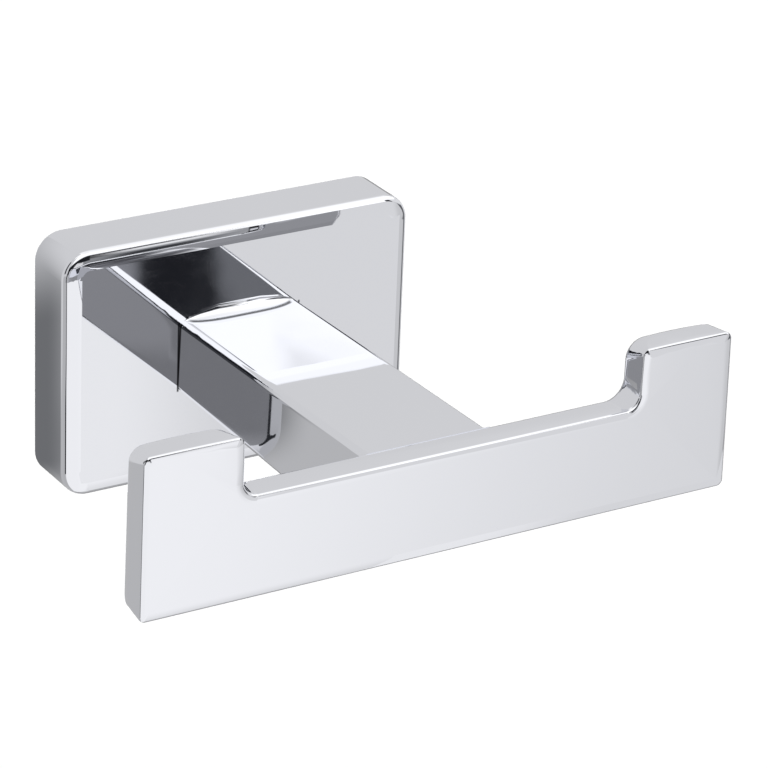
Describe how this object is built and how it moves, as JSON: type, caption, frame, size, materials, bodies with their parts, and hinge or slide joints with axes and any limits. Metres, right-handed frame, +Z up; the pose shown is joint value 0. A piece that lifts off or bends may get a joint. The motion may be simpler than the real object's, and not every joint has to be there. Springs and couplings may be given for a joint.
{
  "type": "double robe hook",
  "caption": "Wall-mounted chrome robe hook: a rectangular cover carries a flat arm that ends in a cross bar with upturned ends.",
  "frame": {"origin": "centre of the cover's back rim, on the wall's surface", "axes": "+X along the cross bar, +Y into the wall, +Z up; the hook stands out along -Y"},
  "size_m": [0.099, 0.0713, 0.0406],
  "materials": {
    "chrome_plate": "polished chrome plate on zinc die-casting",
    "pressed_steel": "pressed stainless sheet, mill finish",
    "screw_steel": "bright zinc plated steel"
  },
  "bodies": {
    "root": {"hook_casting": "chrome_plate", "backplate_cover": "chrome_plate", "arm_screw_left": "screw_steel", "arm_screw_right": "screw_steel", "wall_bracket": "pressed_steel", "grub_screw": "screw_steel"}
  },
  "joints": []
}
